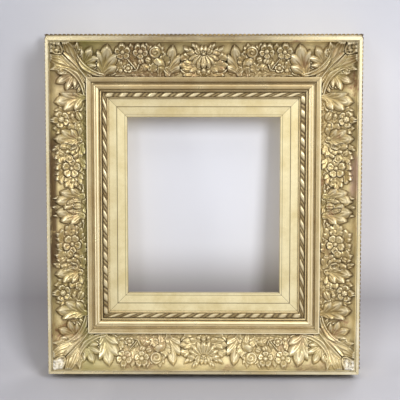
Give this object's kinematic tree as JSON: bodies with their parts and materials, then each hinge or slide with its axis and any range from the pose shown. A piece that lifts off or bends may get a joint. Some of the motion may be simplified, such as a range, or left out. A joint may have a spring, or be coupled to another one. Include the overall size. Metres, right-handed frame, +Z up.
{
  "type": "picture frame",
  "caption": "Deep gilded picture frame with a carved-look floral cove, rope moulding, double slip and ring hangers on the back.",
  "frame": {"origin": "centre of the sight opening, in the wall plane, which is the back face of the carcass", "axes": "+X to the right seen from the front, +Y backward to the wall, +Z up"},
  "size_m": [0.6258, 0.0825, 0.6738],
  "materials": {
    "gilt_slip": "pale matte gilding with fine grain and rubbed edges",
    "gilt_moulding": "burnished gilding with brown patina in the hollows",
    "gilt_rope": "gilding, bright on the strands and dark between them",
    "gilt_cove": "worn satin gilding with brown patina and traces of red ground",
    "gilt_ornament": "gilded composition, rubbed bright on the high points",
    "gilt_rail": "burnished gilding, worn along the top",
    "gilt_pearls": "gilding with dark gaps between the pearls",
    "bare_pine": "aged bare softwood",
    "hardwood_keys": "bare hardwood",
    "brass": "dull brass",
    "plated_steel": "brass-plated steel, dulled",
    "screws": "dull steel",
    "brads": "dark cut steel"
  },
  "bodies": {
    "frame": {"carcass_bottom": "bare_pine", "carcass_left": "bare_pine", "carcass_right": "bare_pine", "carcass_top": "bare_pine", "centre_leaves_left": "gilt_ornament", "centre_leaves_right": "gilt_ornament", "corner_acanthus_bottom_left": "gilt_ornament", "corner_acanthus_bottom_right": "gilt_ornament", "corner_acanthus_top_left": "gilt_ornament", "corner_acanthus_top_right": "gilt_ornament", "corner_keys": "hardwood_keys", "cove_board_bottom": "gilt_cove", "cove_board_left": "gilt_cove", "cove_board_right": "gilt_cove", "cove_board_top": "gilt_cove", "edge_board_bottom": "gilt_rail", "edge_board_left": "gilt_rail", "edge_board_right": "gilt_rail", "edge_board_top": "gilt_rail", "hanger_screws": "screws", "hanger_strap_left": "plated_steel", "hanger_strap_right": "plated_steel", "inner_moulding_bottom": "gilt_moulding", "inner_moulding_left": "gilt_moulding", "inner_moulding_right": "gilt_moulding", "inner_moulding_top": "gilt_moulding", "inner_slip_bottom": "gilt_slip", "inner_slip_left": "gilt_slip", "inner_slip_right": "gilt_slip", "inner_slip_top": "gilt_slip", "outer_slip_bottom": "gilt_slip", "outer_slip_left": "gilt_slip", "outer_slip_right": "gilt_slip", "outer_slip_top": "gilt_slip", "palmette_bottom": "gilt_ornament", "palmette_top": "gilt_ornament", "pearl_string_bottom": "gilt_pearls", "pearl_string_left": "gilt_pearls", "pearl_string_right": "gilt_pearls", "pearl_string_top": "gilt_pearls", "rope_bottom": "gilt_rope", "rope_left": "gilt_rope", "rope_right": "gilt_rope", "rope_top": "gilt_rope", "slip_brads": "brads", "spray_bottom_left": "gilt_ornament", "spray_bottom_right": "gilt_ornament", "spray_top_left": "gilt_ornament", "spray_top_right": "gilt_ornament", "stile_spray_left_bottom": "gilt_ornament", "stile_spray_left_top": "gilt_ornament", "stile_spray_right_bottom": "gilt_ornament", "stile_spray_right_top": "gilt_ornament", "turn_button_screws": "screws"},
    "hanger_ring_left": {"hanger_ring_left": "plated_steel"},
    "hanger_ring_right": {"hanger_ring_right": "plated_steel"},
    "turn_button_top": {"turn_button_top": "brass"},
    "turn_button_right": {"turn_button_right": "brass"},
    "turn_button_bottom": {"turn_button_bottom": "brass"},
    "turn_button_left": {"turn_button_left": "brass"}
  },
  "joints": [
    {"name": "hanger_ring_left_swing", "type": "hinge", "parent": "frame", "child": "hanger_ring_left", "pos_m": [-0.24466, 0.0029, 0.08997], "axis": [1, 0, 0], "range_deg": [0, 180]},
    {"name": "hanger_ring_right_swing", "type": "hinge", "parent": "frame", "child": "hanger_ring_right", "pos_m": [0.24466, 0.0029, 0.08997], "axis": [1, 0, 0], "range_deg": [0, 180]},
    {"name": "turn_button_top_turn", "type": "hinge", "parent": "frame", "child": "turn_button_top", "pos_m": [0, -0.004, 0.188], "axis": [0, 1, 0], "continuous": true},
    {"name": "turn_button_right_turn", "type": "hinge", "parent": "frame", "child": "turn_button_right", "pos_m": [0.164, -0.004, 0], "axis": [0, 1, 0], "continuous": true},
    {"name": "turn_button_bottom_turn", "type": "hinge", "parent": "frame", "child": "turn_button_bottom", "pos_m": [0, -0.004, -0.188], "axis": [0, 1, 0], "continuous": true},
    {"name": "turn_button_left_turn", "type": "hinge", "parent": "frame", "child": "turn_button_left", "pos_m": [-0.164, -0.004, 0], "axis": [0, 1, 0], "continuous": true}
  ]
}
